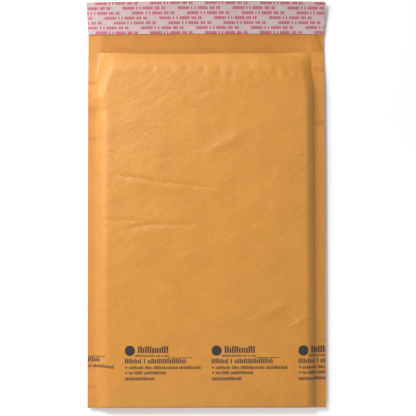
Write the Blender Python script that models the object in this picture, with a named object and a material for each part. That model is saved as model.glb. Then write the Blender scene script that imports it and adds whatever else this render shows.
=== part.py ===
"""Padded mailing envelope, empty and open, lying on its back wall with its flap towards +Y, in metres.

One web of kraft paper is folded at the bottom and heat sealed down both sides, and its back wall
runs on past the mouth as the flap. A web of bubble film is folded inside it. A band of adhesive
waits on the flap under its release liner.
"""
import math

import bmesh
import bpy
from mathutils import Vector

# The paper web
WIDTH = 0.2413
BODY_LENGTH = 0.3615  # from the bottom fold to the lip of the front wall
FLAP_LENGTH = 0.0514
PAPER = 0.00025
LEFT_SEAL = 0.0082
RIGHT_SEAL = 0.0106
SEAL_THICKNESS = 0.0006  # both walls with the crushed film between them
SEAL_UNDER = 0.0032  # the seals' underside above the table
ROLL_OFF = 0.012  # from a seal to where the wall runs level
FULLNESS = 2.2  # 1 is a straight slope, and more is steeper beside the seal
FLAP_CURL = 0.006  # the free end's rise

# The bottom fold
FOLD_DROP = 0.0022  # how far the front wall comes down to it
FOLD_UNDER = 0.0008
FOLD_DEPTH = 0.0025
FOLD_REACH = 0.04

# The mouth
LIP_OPENING = 0.008  # between the flap and the lip, in the middle
LIP_MARGIN = 0.0133  # paper past the lining's end
LEFT_CORNER = 0.0045  # how far the pad draws in at the mouth's corners
RIGHT_CORNER = 0.003
CORNER_REACH = 0.03

# The bubble lining
FILM = 0.003
FILM_FIT = 0.0003
FILM_INSET = 0.0015  # from the seals
FILM_END = 0.001  # from the pad's top edge
POCKET = 0.0046  # between the two linings
FOLD_GAP = 0.0003  # least space between them, at the rims and in the fold

# The adhesive and its release liner
CONTACT_GAP = 0.0002
ADHESIVE = 0.00025
ADHESIVE_LENGTH = 0.02
LINER = 0.00015
LINER_LENGTH = 0.0332
LINER_MARGIN = 0.0007  # bare paper past the liner
LINER_FLARE = 0.001  # how far the liner's free corners stand past the paper
ADHESIVE_MARGIN = 0.004  # bare paper at each end of the adhesive band

# Creases, gathers and swells that lift the front wall
CREASE_HEIGHT = 0.0006
CREASE_WIDTH = 0.004
LONG_CREASE_END = Vector((0.058, 0.0172))
LONG_CREASE_LENGTH = 0.156
LONG_CREASE_FALL = 0.013  # how far it comes down from its left end
SHORT_CREASE = (Vector((-0.098, -0.0165)), Vector((-0.012, -0.0215)))
RIDGES = (
    (Vector((0.002, 0.053)), Vector((0.0413, 0.0736))),
    (Vector((-0.027, -0.057)), Vector((-0.003, -0.045))),
    (Vector((0.0468, -0.1186)), Vector((0.079, -0.1025))),
)
RIDGE_HEIGHT = 0.0007
RIDGE_WIDTH = 0.007
GATHER_HEIGHT = 0.0006
GATHER_PITCH = 0.0184
GATHER_BELOW_PAD_TOP = 0.005
GATHER_LENGTH = 0.0045
GATHERS_START = -0.06
SWELL_HEIGHT = 0.0004
SWELL_LENGTH = 0.11
SWELL_WIDTH = 0.075

# Mesh steps
ROW_STEP = 0.019
FOLD_ROWS = (0.12, 0.3, 0.6, 1)  # shares of the fold's reach
CREASE_ROWS = (-3, -1, 0, 1, 3)  # crease widths to each side of its line
CORNER_ROWS = (1, 0.75, 0.5, 0.32)  # shares of the corners' reach
DRIFT_REACH = 0.076  # how far up and down the rows bend to follow the long crease
COLUMN_STEP = GATHER_PITCH / 4
ROLL_STEPS = 5
ROLL_CROWDING = 1.3  # above 1 the roll-off's columns stand closer beside the seal
FOLD_STEPS = 4
FLAP_STEP = 0.009
PROBE = 0.0005  # reach over which a slope is read
WELD = 1e-6
SMOOTH_ANGLE = math.radians(40)

# Places that follow from the sizes
SEAL_TOP = SEAL_UNDER + SEAL_THICKNESS
SEAL_MIDDLE = SEAL_UNDER + SEAL_THICKNESS / 2
THICKNESS = 2 * (PAPER + FILM_FIT + FILM) + POCKET
FOLD_TOP = THICKNESS - FOLD_DROP
LIP_TOP = LIP_OPENING + 2 * PAPER
FOLD_Y = -(BODY_LENGTH + FLAP_LENGTH) / 2
MOUTH_Y = FOLD_Y + BODY_LENGTH
FLAP_END_Y = MOUTH_Y + FLAP_LENGTH
PAD_TOP_Y = MOUTH_Y - LIP_MARGIN
FILM_END_Y = PAD_TOP_Y - FILM_END
LINER_END_Y = FLAP_END_Y - LINER_MARGIN
LINER_START_Y = LINER_END_Y - LINER_LENGTH
ADHESIVE_START_Y = (LINER_START_Y + LINER_END_Y - ADHESIVE_LENGTH) / 2


def share_of(distance, reach):
    return min(max(distance / reach, 0.0), 1.0)


def ease(share):
    share = min(max(share, 0.0), 1.0)
    return share * share * (3 - 2 * share)


def rise(distance, reach):
    """The share of its height that a wall has reached at a distance from its seal or fold."""
    return 1 - (1 - share_of(distance, reach)) ** FULLNESS


def pad_edges(y):
    """Where the pad starts beside each seal: it draws in towards the mouth's corners."""
    drawn = ease((y - PAD_TOP_Y + CORNER_REACH) / CORNER_REACH)
    left = -WIDTH / 2 + LEFT_SEAL + LEFT_CORNER * drawn
    right = WIDTH / 2 - RIGHT_SEAL - RIGHT_CORNER * drawn
    return left, right


def side_rise(x, y, reach):
    left, right = pad_edges(y)
    return rise(x - left, reach) * rise(right - x, reach)


def smooth_front_z(x, y):
    """The front wall's outer face, before its creases."""
    middle = FOLD_TOP + (THICKNESS - FOLD_TOP) * rise(y - FOLD_Y, FOLD_REACH)
    middle -= (THICKNESS - LIP_TOP) * ease((y - PAD_TOP_Y) / LIP_MARGIN)
    return SEAL_TOP + (middle - SEAL_TOP) * side_rise(x, y, ROLL_OFF)


def back_z(x, y):
    """The underside of the back wall and of the flap."""
    along_flap = max(0.0, (y - MOUTH_Y) / FLAP_LENGTH)
    side = SEAL_UNDER * (1 - ease(along_flap))
    middle = FOLD_UNDER * (1 - rise(y - FOLD_Y, FOLD_REACH))
    flat = side_rise(x, y, ROLL_OFF * (1 + 2 * along_flap))
    return side + (middle - side) * flat + FLAP_CURL * along_flap**2


def long_crease_y(x):
    back = share_of(LONG_CREASE_END.x - x, LONG_CREASE_LENGTH)
    return LONG_CREASE_END.y + LONG_CREASE_FALL * back**2


def valley(distance, width):
    """A fold line at 0 with the paper swollen up on both sides of it."""
    return abs(distance) / width * math.exp(1 - abs(distance) / width)


def reach_from(point, start, end):
    """The distance of a point from a line between two others, and how far along it lies."""
    run = end - start
    along = (point - start).dot(run) / run.length_squared
    nearest = start + run * min(max(along, 0.0), 1.0)
    return (point - nearest).length, along


def relief(x, y):
    """How far creases, gathers and swells lift the front wall."""
    point = Vector((x, y))
    lift = 0.0
    crease_start = LONG_CREASE_END.x - LONG_CREASE_LENGTH
    along = share_of(x - crease_start, LONG_CREASE_LENGTH)
    lift += CREASE_HEIGHT * valley(y - long_crease_y(x), CREASE_WIDTH) * (1 - ease(along))
    distance, along = reach_from(point, *SHORT_CREASE)
    lift += CREASE_HEIGHT * valley(distance, CREASE_WIDTH) * (1 - ease(along))
    for start, end in RIDGES:
        distance, _ = reach_from(point, start, end)
        lift += RIDGE_HEIGHT * math.exp(-((distance / RIDGE_WIDTH) ** 2))
    below = (y - PAD_TOP_Y + GATHER_BELOW_PAD_TOP) / GATHER_LENGTH
    turn = 2 * math.pi * (x - GATHERS_START) / GATHER_PITCH
    gathers = 0.5 * (1 + math.cos(turn)) * ease((x - GATHERS_START) / GATHER_PITCH)
    lift += GATHER_HEIGHT * gathers * math.exp(-below * below)
    swell = math.sin(2 * math.pi * (x / SWELL_WIDTH + y / SWELL_LENGTH))
    swell *= math.cos(2 * math.pi * (y / SWELL_LENGTH - x / (2 * SWELL_WIDTH)))
    lift += SWELL_HEIGHT * 0.5 * (1 + swell)
    ends = rise(y - FOLD_Y, FOLD_REACH) * (1 - ease((y - PAD_TOP_Y) / LIP_MARGIN))
    return lift * ends * side_rise(x, y, 2 * ROLL_OFF)


def front_z(x, y):
    return smooth_front_z(x, y) + relief(x, y)


def slant(surface, x, y):
    """The upright thickness of a sheet on this surface, for a unit square to it."""
    across = (surface(x + PROBE, y) - surface(x - PROBE, y)) / (2 * PROBE)
    along = (surface(x, y + PROBE) - surface(x, y - PROBE)) / (2 * PROBE)
    return math.hypot(1, across, along)


def filled(marks, step):
    """The marks, with even steps no longer than this one between them."""
    places = [marks[0]]
    for start, end in zip(marks, marks[1:]):
        count = math.ceil((end - start) / step - 1e-9)
        places += [start + (end - start) * n / count for n in range(1, count + 1)]
    return places


def body_rows():
    """The y of each row of faces from the fold to the lip, closer where the form turns."""
    fold = [FOLD_Y + FOLD_REACH * share for share in FOLD_ROWS]
    creases = [
        line + CREASE_WIDTH * n for line in (SHORT_CREASE[1].y, LONG_CREASE_END.y) for n in CREASE_ROWS
    ]
    corners = [PAD_TOP_Y - CORNER_REACH * share for share in CORNER_ROWS]
    gathers = [PAD_TOP_Y - GATHER_BELOW_PAD_TOP + GATHER_LENGTH * n for n in (-1, 0)]
    lip = [FILM_END_Y, PAD_TOP_Y + LIP_MARGIN / 4, PAD_TOP_Y + LIP_MARGIN / 2, MOUTH_Y]
    marks = sorted(fold + creases + corners + gathers + lip)
    return [FOLD_Y + FOLD_DEPTH] + filled(marks, ROW_STEP)


def pad_columns(y):
    """The x of each column from pad edge to pad edge, closer where the walls roll off."""
    left, right = pad_edges(y)
    roll = [ROLL_OFF * (n / ROLL_STEPS) ** ROLL_CROWDING for n in range(ROLL_STEPS)]
    level = right - left - 2 * ROLL_OFF
    steps = max(1, round((WIDTH - LEFT_SEAL - RIGHT_SEAL - 2 * ROLL_OFF) / COLUMN_STEP))
    middle = [left + ROLL_OFF + level * n / steps for n in range(steps + 1)]
    return [left + out for out in roll] + middle + [right - out for out in reversed(roll)]


def full_columns(y):
    return [-WIDTH / 2] + pad_columns(y) + [WIDTH / 2]


def drift(x, y):
    """How far a row of the front wall moves, so that the long crease runs along one of them."""
    near = 1 - share_of(abs(y - LONG_CREASE_END.y), DRIFT_REACH)
    return (long_crease_y(x) - LONG_CREASE_END.y) * near * side_rise(x, y, 2 * ROLL_OFF)


def fold_depth(x):
    """How far the bottom fold reaches past its walls' first row: little where it is sealed."""
    height = smooth_front_z(x, FOLD_Y) - back_z(x, FOLD_Y)
    return FOLD_DEPTH * height / (FOLD_TOP - FOLD_UNDER)


def wall_rows(surface, inside):
    """Points on a wall's outer face, from edge to edge, or on its inner face, which is pinched
    shut where the seals begin."""
    into_pocket = -PAPER if surface is front_z else PAPER
    rows = []
    for number, row_y in enumerate(body_rows()):
        row = []
        for x in pad_columns(row_y) if inside else full_columns(row_y):
            y = row_y + (drift(x, row_y) if surface is front_z else 0)
            if number == 0:
                y = FOLD_Y + fold_depth(x)
            z = surface(x, y) + (into_pocket * slant(surface, x, y) if inside else 0)
            row.append(Vector((x, y, z)))
        if inside:
            row[0].z = row[-1].z = SEAL_MIDDLE
        rows.append(row)
    return rows


def fold_rows(top, bottom, tip_y):
    """Rows round the bottom fold, from the front wall's first row to the back wall's."""
    rows = []
    for step in range(1, FOLD_STEPS):
        angle = math.pi * step / FOLD_STEPS
        row = []
        for high, low in zip(top, bottom):
            middle = (high + low) / 2
            out = max(0.0, middle.y - tip_y) if high.z - low.z > WELD else 0.0
            y = middle.y - out * math.sin(angle)
            row.append(Vector((high.x, y, middle.z + (high.z - middle.z) * math.cos(angle))))
        rows.append(row)
    return rows


def add_skin(bm, rows):
    """Lays faces over a grid of points. Skins are welded where their points meet."""
    grid = [[bm.verts.new(point) for point in row] for row in rows]
    for low, high in zip(grid, grid[1:]):
        for corners in zip(low, low[1:], high[1:], high):
            bm.faces.new(corners)


def add_slab(bm, first, second):
    """Closes two grids of points of one shape into a sheet with a rim all round."""
    add_skin(bm, first)
    add_skin(bm, second)
    for end in (0, -1):
        add_skin(bm, [first[end], second[end]])
        add_skin(bm, [[row[end] for row in first], [row[end] for row in second]])


def finish_piece(bm, name, material, collection):
    bmesh.ops.remove_doubles(bm, verts=bm.verts, dist=WELD)
    bmesh.ops.recalc_face_normals(bm, faces=bm.faces)
    mesh = bpy.data.meshes.new(name)
    bm.to_mesh(mesh)
    bm.free()
    mesh.materials.append(material)
    mesh.shade_smooth()
    mesh.set_sharp_from_angle(angle=SMOOTH_ANGLE)
    collection.objects.link(bpy.data.objects.new(name, mesh))


def make_material(name, color, roughness, alpha=1.0):
    material = bpy.data.materials.new(name)
    material.use_nodes = True
    shader = material.node_tree.nodes["Principled BSDF"]
    shader.inputs["Base Color"].default_value = (*color, 1)
    shader.inputs["Roughness"].default_value = roughness
    shader.inputs["Metallic"].default_value = 0
    shader.inputs["Alpha"].default_value = alpha
    return material


def flap_rows():
    """The y of each row of the flap, which its adhesive and liner share."""
    adhesive = [ADHESIVE_START_Y, ADHESIVE_START_Y + ADHESIVE_LENGTH]
    marks = [MOUTH_Y, LINER_START_Y, *adhesive, LINER_END_Y, FLAP_END_Y]
    return filled(marks, FLAP_STEP)


def flap_sheet(lift, start_y=MOUTH_Y, end_y=FLAP_END_Y, margin=0.0, flare=0.0):
    """Rows of points at a height over the flap's underside. They may end short of its side
    edges by a margin, or flare out past them towards the free end."""
    rows = []
    for y in flap_rows():
        if start_y - WELD < y < end_y + WELD:
            reach = WIDTH / 2 - margin
            row = [min(max(x, -reach), reach) for x in full_columns(y)]
            row[-1] += flare * (y - start_y) / (end_y - start_y)
            row[0] = -row[-1]
            rows.append([Vector((x, y, back_z(x, y) + lift * slant(back_z, x, y))) for x in row])
    return rows


def make_envelope(collection):
    """The folded and sealed paper web, with its flap."""
    front, back = wall_rows(front_z, False), wall_rows(back_z, False)
    inner_front, inner_back = wall_rows(front_z, True), wall_rows(back_z, True)
    outer_fold = fold_rows(front[0], back[0], FOLD_Y)
    inner_fold = fold_rows(inner_front[0], inner_back[0], FOLD_Y + PAPER)
    flap_under, flap_top = flap_sheet(0), flap_sheet(PAPER)
    flap_top[0][1:-1] = inner_back[-1]

    bm = bmesh.new()
    add_skin(bm, front[::-1] + outer_fold + back)
    add_skin(bm, inner_front[::-1] + inner_fold + inner_back)
    add_skin(bm, flap_under)
    add_skin(bm, flap_top)
    add_skin(bm, [flap_under[-1], flap_top[-1]])
    add_skin(bm, [front[-1][1:-1], inner_front[-1]])
    for edge, seal in ((0, slice(0, 2)), (-1, slice(-2, None))):
        lifted = [row[edge] + Vector((0, 0, PAPER)) for row in back]
        add_skin(bm, [[row[edge] for row in front], lifted, [row[edge] for row in back]])
        add_skin(bm, [[row[edge] for row in flap_top], [row[edge] for row in flap_under]])
        add_skin(bm, [front[-1][seal], flap_top[0][seal]])
        fold_end = [front[0][edge], *(row[edge] for row in outer_fold), back[0][edge], lifted[0]]
        bm.faces.new([bm.verts.new(point) for point in fold_end])
    kraft = make_material("kraft paper", (0.658, 0.305, 0.074), 0.7)
    finish_piece(bm, "kraft_envelope", kraft, collection)


def lining_rows(outer):
    """The lining's outer or inner face, down the front, round the fold and up the back."""
    walls = []
    clear = PAPER + FILM_FIT  # from the paper's outer face to the film
    for surface, way in ((smooth_front_z, -1), (back_z, 1)):
        rows = []
        for number, row_y in enumerate(y for y in body_rows() if y < FILM_END_Y + WELD):
            left, right = pad_edges(row_y)
            row = []
            for column in pad_columns(row_y):
                x = min(max(column, left + FILM_INSET), right - FILM_INSET)
                y = row_y
                if number == 0:
                    y = FOLD_Y + (fold_depth(x) if outer else clear + FILM + FOLD_GAP)
                high = smooth_front_z(x, y) - clear * slant(smooth_front_z, x, y)
                low = back_z(x, y) + clear * slant(back_z, x, y)
                film = min(FILM, (high - low - FOLD_GAP) / 2)
                face = high if way < 0 else low
                row.append(Vector((x, y, face if outer else face + way * film)))
            rows.append(row)
        walls.append(rows)
    front, back = walls
    tip = FOLD_Y + (clear if outer else clear + FILM)
    fold = fold_rows(front[0], back[0], tip)
    return front[::-1] + fold + back


def make_lining(collection):
    bm = bmesh.new()
    add_slab(bm, lining_rows(outer=True), lining_rows(outer=False))
    film = make_material("bubble film", (0.80, 0.84, 0.86), 0.25, 0.55)
    finish_piece(bm, "bubble_lining", film, collection)


def make_strip(collection, name, material, faces):
    bm = bmesh.new()
    add_slab(bm, *faces)
    finish_piece(bm, name, material, collection)


def make_adhesive(collection):
    low = PAPER + CONTACT_GAP
    end_y = ADHESIVE_START_Y + ADHESIVE_LENGTH
    faces = [
        flap_sheet(lift, ADHESIVE_START_Y, end_y, margin=ADHESIVE_MARGIN)
        for lift in (low, low + ADHESIVE)
    ]
    glue = make_material("hot melt adhesive", (0.72, 0.58, 0.30), 0.3)
    make_strip(collection, "adhesive_strip", glue, faces)


def make_liner(collection):
    low = PAPER + 2 * CONTACT_GAP + ADHESIVE
    faces = [
        flap_sheet(lift, LINER_START_Y, LINER_END_Y, flare=LINER_FLARE)
        for lift in (low, low + LINER)
    ]
    release = make_material("release paper", (0.67, 0.53, 0.53), 0.45)
    make_strip(collection, "release_liner", release, faces)


def main():
    for obj in list(bpy.data.objects):
        bpy.data.objects.remove(obj)
    collection = bpy.data.collections.new("padded_envelope")
    bpy.context.scene.collection.children.link(collection)
    make_envelope(collection)
    make_lining(collection)
    make_adhesive(collection)
    make_liner(collection)


main()
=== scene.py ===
"""Looks of the padded mailing envelope: kraft paper over bubble film on a pale table, in metres.

The paper's walls follow the same rules as the CAD solids, on a finer mesh and with the creases,
puckers and lip that show in daylight. The lining gets its film and bubbles, and the printing is
made of plain bars and ticks that only stand for text.
"""
import math

import bmesh
import bpy
import numpy as np
from mathutils import Euler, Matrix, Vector, noise

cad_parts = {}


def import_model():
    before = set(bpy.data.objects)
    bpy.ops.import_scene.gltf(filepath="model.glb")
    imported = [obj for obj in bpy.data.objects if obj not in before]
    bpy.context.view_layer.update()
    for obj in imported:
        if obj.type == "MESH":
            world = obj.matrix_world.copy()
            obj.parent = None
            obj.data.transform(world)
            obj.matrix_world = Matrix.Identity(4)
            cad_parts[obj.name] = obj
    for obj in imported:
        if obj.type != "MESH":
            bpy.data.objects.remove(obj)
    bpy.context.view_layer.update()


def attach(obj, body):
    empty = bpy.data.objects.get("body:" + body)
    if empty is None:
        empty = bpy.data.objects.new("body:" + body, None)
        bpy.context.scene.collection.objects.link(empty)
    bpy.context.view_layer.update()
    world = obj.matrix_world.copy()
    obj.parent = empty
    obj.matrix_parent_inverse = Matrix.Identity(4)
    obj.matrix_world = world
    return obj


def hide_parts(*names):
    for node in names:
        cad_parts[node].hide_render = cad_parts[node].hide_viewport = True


# The paper web. Its seals, lip and flap rest as the photo shows them, a little off the CAD's.
WIDTH = 0.2413
BODY_LENGTH = 0.3615
FLAP_LENGTH = 0.0514
PAPER = 0.00025
RIGHT_SEAL = 0.0100
SEAL_THICKNESS = 0.0006
SEAL_UNDER = 0.0038
ROLL_OFF = 0.012
RIGHT_ROLL = 0.8  # the width of the roll-off on the right, as a share of the left one's
FOOT = 0.0009  # the seal climbs this far towards the pad
FOOT_REACH = 0.0022
FULLNESS = 1.7  # 1 is a straight slope, and more is steeper beside the seal
FLAP_CURL = 0.006  # the free end's rise
FLAP_BOW = 0.005  # how far the middle of the flap's end stands above its corners
FLAP_SPREAD = 2.0  # the roll-off widens by so many of its widths towards the flap's end
MOUTH_SPREAD = 0.014  # and by one more beside the mouth, over this distance
FOLD_DROP = 0.0015
FOLD_UNDER = 0.0008
FOLD_DEPTH = 0.0025
FOLD_REACH = 0.04
LIP_OPENING = 0.0030  # the CAD's mouth stands open 8 mm, and this one rests nearly shut
LIP_MARGIN = 0.0133
LIP_REACH = 0.0195  # how far below the lip the front wall starts to come down
LIP_FULLNESS = 2.0
LIP_SLOPE = 1.7  # how much further below the lip it starts at the right corner
LIP_SLOPE_START = 0.065
LIP_SLOPE_REACH = 0.045
MOUTH_SINK = 0.0025  # how far the side seals come down towards the mouth
MOUTH_SINK_REACH = 0.043
RIGHT_CORNER = 0.003
CORNER_REACH = 0.03
CORNER_SOFTNESS = 0.25  # how much wider the roll-off is at the mouth's corners

# The bubble lining
FILM = 0.003  # over the bubbles
FILM_FIT = 0.0003
FILM_INSET = 0.0015
FILM_END = 0.001
POCKET = 0.0046
FOLD_GAP = 0.0003
FILM_SHEET = 0.00012  # one web of film, without its bubbles
BUBBLE_SAG = 0.0008  # the bubbles stand this much lower than the film may
CRUSHED_FROM = 0.002  # and are crushed flat this close to the pad's edges
CRUSHED_REACH = 0.016  # and stand up over this distance
LEAST_BUBBLE = FILM / 5  # a bubble lower than this is left out
BUBBLE_PITCH = 0.0115
BUBBLE_DIAMETER = 0.0098
BUBBLE_TOP = 0.62  # the top's radius, as a share of the foot's
BUBBLE_BULGE = 0.9
BUBBLE_SIDES = 12

# The adhesive and its release liner
CONTACT_GAP = 0.0002
ADHESIVE = 0.00025
ADHESIVE_LENGTH = 0.02
ADHESIVE_MARGIN = 0.004
ADHESIVE_SEAT = CONTACT_GAP / 4  # it stands this close to the flap
LINER = 0.00015
LINER_LENGTH = 0.0320
LINER_MARGIN = 0.0007
LINER_FLARE = 0.0018
LINER_ARCH = 0.0007  # how far its lower edge arches up in the middle
LINER_WAVE = 0.00015
LINER_WAVES = ((0.061, 4.0, 1.0), (0.023, 0.0, 0.5))  # length, drift along the strip and share
LINER_LIFT = 0.0011  # how far its loose lower left corner stands up
LINER_LIFT_REACH = 0.013
LINER_LIFT_SHARE = 0.5  # of the strip's length
LINER_LIFT_CURVE = 1.5

# Places that follow from the sizes
THICKNESS = 2 * (PAPER + FILM_FIT + FILM) + POCKET
FOLD_TOP = THICKNESS - FOLD_DROP
LIP_TOP = LIP_OPENING + 2 * PAPER
FOLD_Y = -(BODY_LENGTH + FLAP_LENGTH) / 2
MOUTH_Y = FOLD_Y + BODY_LENGTH
FLAP_END_Y = MOUTH_Y + FLAP_LENGTH
PAD_TOP_Y = MOUTH_Y - LIP_MARGIN
FILM_END_Y = PAD_TOP_Y - FILM_END
LINER_END_Y = FLAP_END_Y - LINER_MARGIN
LINER_START_Y = LINER_END_Y - LINER_LENGTH
ADHESIVE_START_Y = (LINER_START_Y + LINER_END_Y - ADHESIVE_LENGTH) / 2

# The left seal's width at places up the envelope: the pad bulges over it and is drawn in above
LEFT_SEAL_PLACES = (-0.2, 0.0950, 0.1086, 0.1414, 0.1547)
LEFT_SEAL_WIDTHS = (0.0093, 0.0093, 0.0056, 0.0117, 0.0130)

# Creases: the places they run through, height, width and how crisp their cores are. Valleys are
# fold lines, ridges stand up.
VALLEYS = (
    (((-0.098, 0.0302), (-0.072, 0.0262), (-0.040, 0.0208), (0.010, 0.0160)), 0.00066, 0.0036, 0.6),
    (((0.001, 0.0179), (0.030, 0.0172)), 0.00022, 0.0040, 0.3),
    (((-0.104, -0.0165), (-0.065, -0.0170)), 0.00045, 0.0034, 0.6),
    (((-0.084, -0.0268), (-0.058, -0.0212), (-0.010, -0.0215)), 0.00068, 0.0044, 0.4),
    (((-0.012, 0.1090), (0.018, 0.1220)), 0.00028, 0.0080, 0.0),
    (((-0.057, 0.0440), (-0.038, 0.0490)), 0.00022, 0.0040, 0.5),
    (((-0.100, 0.0516), (-0.093, 0.0516)), 0.00030, 0.0026, 1.0),
)
RIDGES = (
    (((-0.002, 0.051), (0.0413, 0.0736)), 0.00065, 0.0055, 0.35),
    (((-0.027, -0.057), (-0.003, -0.045)), 0.00022, 0.0055, 0.3),
    (((0.040, -0.1206), (0.085, -0.1005)), 0.00085, 0.0060, 0.4),
    (((0.083, -0.1250), (0.104, -0.1150)), 0.00070, 0.0040, 0.6),
    (((0.0895, 0.0495), (0.098, 0.0512)), 0.00035, 0.0026, 0.8),
    (((-0.082, 0.0840), (-0.064, 0.0860)), 0.00018, 0.0040, 0.0),
)

# Puckers where the paper sinks between the top bubbles: the middle's place, and depth
PUCKERS = (
    (-0.0547, 0.1385, 0.00029), (-0.0347, 0.1365, 0.00042), (-0.0205, 0.1375, 0.00042),
    (-0.0025, 0.1355, 0.00055), (0.0142, 0.1378, 0.00042), (0.0142, 0.1320, 0.00042),
    (0.0270, 0.1392, 0.00042), (0.0255, 0.1322, 0.00055), (0.0440, 0.1402, 0.00036),
    (0.0480, 0.1322, 0.00055), (0.0600, 0.1385, 0.00036), (0.0715, 0.1362, 0.00048),
    (0.0723, 0.1315, 0.00036), (0.0815, 0.1373, 0.00042), (0.0842, 0.1325, 0.00048),
    (0.0945, 0.1322, 0.00042),
)
PUCKER_ACROSS = 0.0024
PUCKER_ALONG = 0.0038

# Soft swells and small wrinkles: height and the length of one, across and along the slant
SWELLS = ((0.00050, 0.085, 0.050), (0.00028, 0.034, 0.016), (0.00008, 0.012, 0.007))
SWELL_SEED = 100  # tells the noises of the different lengths apart
WRINKLE_SLANT = math.radians(28)
RELIEF_REACH = 2 * ROLL_OFF  # relief grows in over this distance from the seals
VALLEY_SHARE = 0.5  # a valley's depth, as a share of its shoulders

# The crisp core of each crease, as a share of its height and width above
CORE_HEIGHT = 0.55
CORE_WIDTH = 0.38
CORE_SHAKE = 0.0044  # noise moves it by up to half of this
CORE_SHAKE_SCALE = 110.0

CRINKLE = 0.00045  # the height of the small crinkles that cover the front
CRINKLE_SCALE = 120.0

# A small fold at the flap's right end
FLAP_FOLDS = ((((0.1160, 0.1722), (0.1202, 0.1580)), 0.00050, 0.0024, 1.0),)

# Ribs pressed across the seals: side, lowest and highest place, strength
CRIMPS = (
    (-1, 0.1212, 0.1264, 1.0), (-1, 0.0913, 0.0995, 0.8), (-1, 0.0821, 0.0913, 0.4),
    (-1, 0.0640, 0.0681, 1.0), (-1, -0.1869, -0.1838, 0.8),
    (1, 0.1347, 0.1400, 0.9), (1, 0.0794, 0.0846, 0.8), (1, -0.1400, -0.1360, 0.5),
)
CRIMP_PITCH = 0.00204
CRIMP_FADE = 0.0004  # half the length over which a group fades in
FAINT_CRIMPS = 0.06  # the ribs' strength between the groups
SEAL_FADE = 0.0006
RIM_FROM, RIM_TO = 0.0003, 0.0015  # painted shade: the paper is drawn darker this close to its cut edge

SEALED_PALE = 0.009  # the flap's face is paler over this strip at its left edge
SEALED_FADE = 0.007
SEALED_SHARE = 0.40

# The lip, as it waves and dips: the waves' length, start and share
LIP_WAVE = 0.0005
LIP_WAVES = ((0.13, 0.6, 1.0), (0.047, 0.0, 0.4))
LIP_DIP = 0.0013
LIP_DIP_ENDS = (-0.092, 0.07)
LIP_DIP_FADE = 0.02

# Mesh steps
BODY_STEP = 0.0023
TOP_STEP = 0.0014
TOP_LEAD = 1.6  # the finer top rows start this many corner reaches below the pad's top
ROLL_STEPS = 11
ROLL_CROWDING = 1.2  # above 1 the steps stand closer beside the seal
BAND_STEPS = 6
FOLD_STEPS = 8
FOLD_ROWS = 14
CROWDING = 1.5  # the same for the seals' own steps and the rows beside the fold
FLAP_STEP = 0.0022
PROBE = 0.0003  # reach over which a slope is read
WELD = 1e-6
ROUNDING = 1e-9
SMOOTH_ANGLE = math.radians(42)

# The camera
PIXELS = 416  # the photograph's width
PIXEL = 0.001017  # one of them, on the table
CAMERA_DISTANCE = 1.2
CAMERA_PITCH = math.radians(2.1)
CAMERA_ROLL = math.radians(-0.13)
CAMERA_TARGET = Vector((0.0017, -0.0043, 0.0055))
SENSOR = 36

# The light and table. Each area light has its place, size and power, and aims at the origin: a
# key whose sheen lies over the upper left, a lower one from the left, two from beyond the flap,
# and two fills.
LIGHTS = {
    "high_key": ((-0.40, 0.42, 0.74), 0.24, 3.9),
    "left_key": ((-0.80, 0.30, 0.50), 0.40, 3.8),
    "top_light": ((-0.70, 1.15, 1.05), 0.40, 5.4),
    "lip_light": ((-0.50, 1.30, 0.40), 0.30, 3.4),
    "low_fill": ((-0.25, -0.60, 0.50), 0.34, 1.25),
    "right_fill": ((0.85, -0.25, 0.60), 0.50, 0.3),
}
SKY_LIGHT = 0.23
TABLE_SIZE = 4.0
TABLE_UNDER = 0.0001  # the table lies this far under the origin
TABLE_GLOW_FROM, TABLE_GLOW_TO = (0.10, 0.11), (0.55, 0.39)  # place to the lower right, strength

# Colours
WHITE = (1, 1, 1, 1)
TABLE_TONES = ((0.79, 0.79, 0.79, 1), (0.82, 0.82, 0.82, 1))
OUTER_KRAFT = ((0.585, 0.230, 0.019, 1), (0.650, 0.268, 0.025, 1))
INNER_KRAFT = ((0.515, 0.186, 0.018, 1), (0.580, 0.220, 0.024, 1))
LINER_TONES = ((0.52, 0.395, 0.395, 1), (0.58, 0.450, 0.450, 1))
FILM_TONES = ((0.74, 0.79, 0.82, 1), (0.86, 0.89, 0.91, 1))
ADHESIVE_TONES = ((0.60, 0.43, 0.18, 1), (0.76, 0.62, 0.34, 1))
MOTTLE_TINT = (0.40, 0.14, 0.022, 1)
FIBRE_TINT = (0.76, 0.42, 0.12, 1)
SPECK_TINT = (0.32, 0.13, 0.03, 1)
STREAK_TINT = (0.46, 0.17, 0.03, 1)
# painted shade: the dark tone laid along the seals' pressed ribs stands in for the shade in their
# grooves
RIB_GROOVE_SHADE = (0.36, 0.12, 0.015, 1)
EDGE_SHADE_TINT = (0.52, 0.17, 0.012, 1)
SEALED_TINT = (0.66, 0.285, 0.035, 1)
BLACK_INK = (0.014, 0.011, 0.012, 1)
RED_INK = (0.44, 0.018, 0.060, 1)


def ease(share):
    share = np.clip(share, 0, 1)
    return share * share * (3 - 2 * share)


def rise(distance, reach):
    """The share of its height that a wall has reached at a distance from its seal or fold."""
    return 1 - (1 - np.clip(distance / reach, 0, 1)) ** FULLNESS


def bump_at(distance, width):
    return np.exp(-((distance / width) ** 2))


def drawn_in(y):
    """How far up the pad's sides are drawn in towards the mouth's corners, from 0 to 1."""
    return ease((y - PAD_TOP_Y + CORNER_REACH) / CORNER_REACH)


def pad_edges(y):
    """Where the pad starts beside each seal."""
    left = -WIDTH / 2 + np.interp(y, LEFT_SEAL_PLACES, LEFT_SEAL_WIDTHS)
    return left, WIDTH / 2 - RIGHT_SEAL - RIGHT_CORNER * drawn_in(y)


def seal_under(y):
    """The height of the side seals' underside above the table."""
    return SEAL_UNDER - MOUTH_SINK * ease((y - MOUTH_Y + MOUTH_SINK_REACH) / MOUTH_SINK_REACH)


def side_rise(x, y, reach):
    left, right = pad_edges(y)
    return rise(x - left, reach) * rise(right - x, RIGHT_ROLL * reach)


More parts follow.
